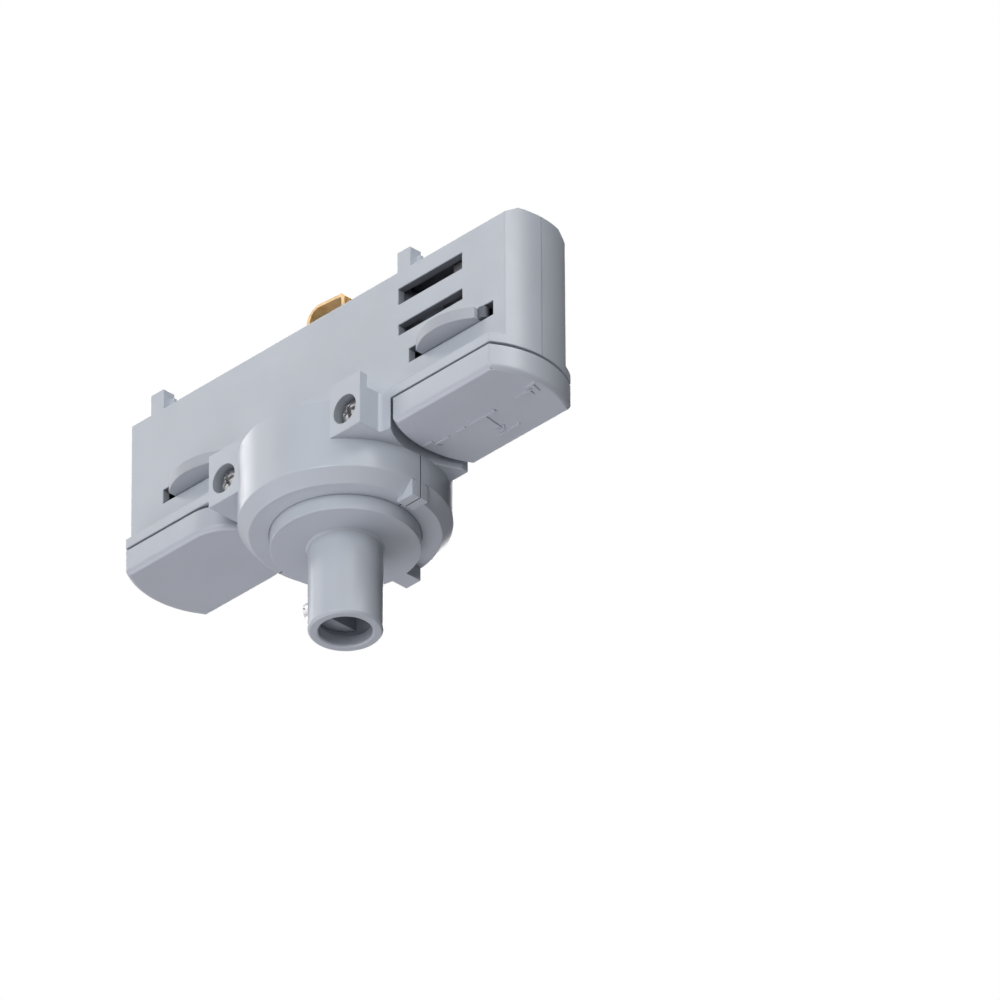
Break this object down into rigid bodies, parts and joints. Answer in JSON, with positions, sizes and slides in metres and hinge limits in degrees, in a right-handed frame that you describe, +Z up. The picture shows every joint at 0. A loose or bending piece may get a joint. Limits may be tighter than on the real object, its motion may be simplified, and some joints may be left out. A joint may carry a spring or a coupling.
{
  "type": "track light adapter",
  "caption": "Long narrow adapter that hangs a lamp from a lighting track: a flanged body on a round hub, two turning levers, an earth contact on top and a swivelling cord nipple below.",
  "frame": {"origin": "on the nipple's axis, level with the flange's upper face that seats under the track", "axes": "+X along the track towards the selector lever, +Y to the rear shell, +Z up into the track"},
  "size_m": [0.1038, 0.04, 0.075],
  "materials": {
    "housing_plastic": "fine satin moulded light grey",
    "lever_plastic": "fine satin moulded light grey",
    "nipple_plastic": "satin light grey",
    "steel": "zinc plated",
    "spring_steel": "plain spring steel",
    "contact_brass": "bright strip",
    "contact_nickel": "nickel plated strip",
    "earth_brass": "bright strip",
    "clamp_brass": "plain brass",
    "drum_plastic": "plain moulded dark grey",
    "block_plastic": "plain moulded",
    "shoe_plastic": "plain moulded grey"
  },
  "bodies": {
    "housing": {"front_housing": "housing_plastic", "rear_housing": "housing_plastic", "housing_screws": "steel", "locking_spring": "spring_steel", "selector_spring": "spring_steel", "terminal_block": "block_plastic", "terminal_screws": "steel", "earth_clamp": "clamp_brass", "neutral_clamp": "clamp_brass", "phase_clamp": "clamp_brass", "neutral_collector": "contact_brass", "phase_collector": "contact_brass", "earth_strap": "earth_brass"},
    "locking": {"locking_lever": "lever_plastic"},
    "selector": {"selector_lever": "lever_plastic", "contact_drum": "drum_plastic", "drum_pin": "steel", "neutral_contact": "contact_nickel", "phase_contact": "contact_nickel"},
    "nipple": {"swivel_nipple": "nipple_plastic"},
    "clamp": {"clamp_shoe": "shoe_plastic", "clamp_screw": "steel"},
    "earth": {"earth_contact": "earth_brass"}
  },
  "joints": [
    {"name": "locking_turn", "type": "hinge", "parent": "housing", "child": "locking", "pos_m": [-0.0303, 0, 0], "axis": [0, 0, 1], "range_deg": [-90, 0]},
    {"name": "selector_turn", "type": "hinge", "parent": "housing", "child": "selector", "pos_m": [0.0361, 0, 0], "axis": [0, 0, 1], "range_deg": [0, 90]},
    {"name": "nipple_swivel", "type": "hinge", "parent": "housing", "child": "nipple", "pos_m": [0, 0, 0], "axis": [0, 0, 1], "range_deg": [-75, 255]},
    {"name": "clamp_slide", "type": "slide", "parent": "nipple", "child": "clamp", "axis": [1, 0, 0], "range_m": [0, 0.0015]},
    {"name": "earth_spring", "type": "slide", "parent": "housing", "child": "earth", "axis": [0, 0, 1], "range_m": [-0.0018, 0], "stiffness_N_per_m": 300, "springref_m": 0.002}
  ]
}
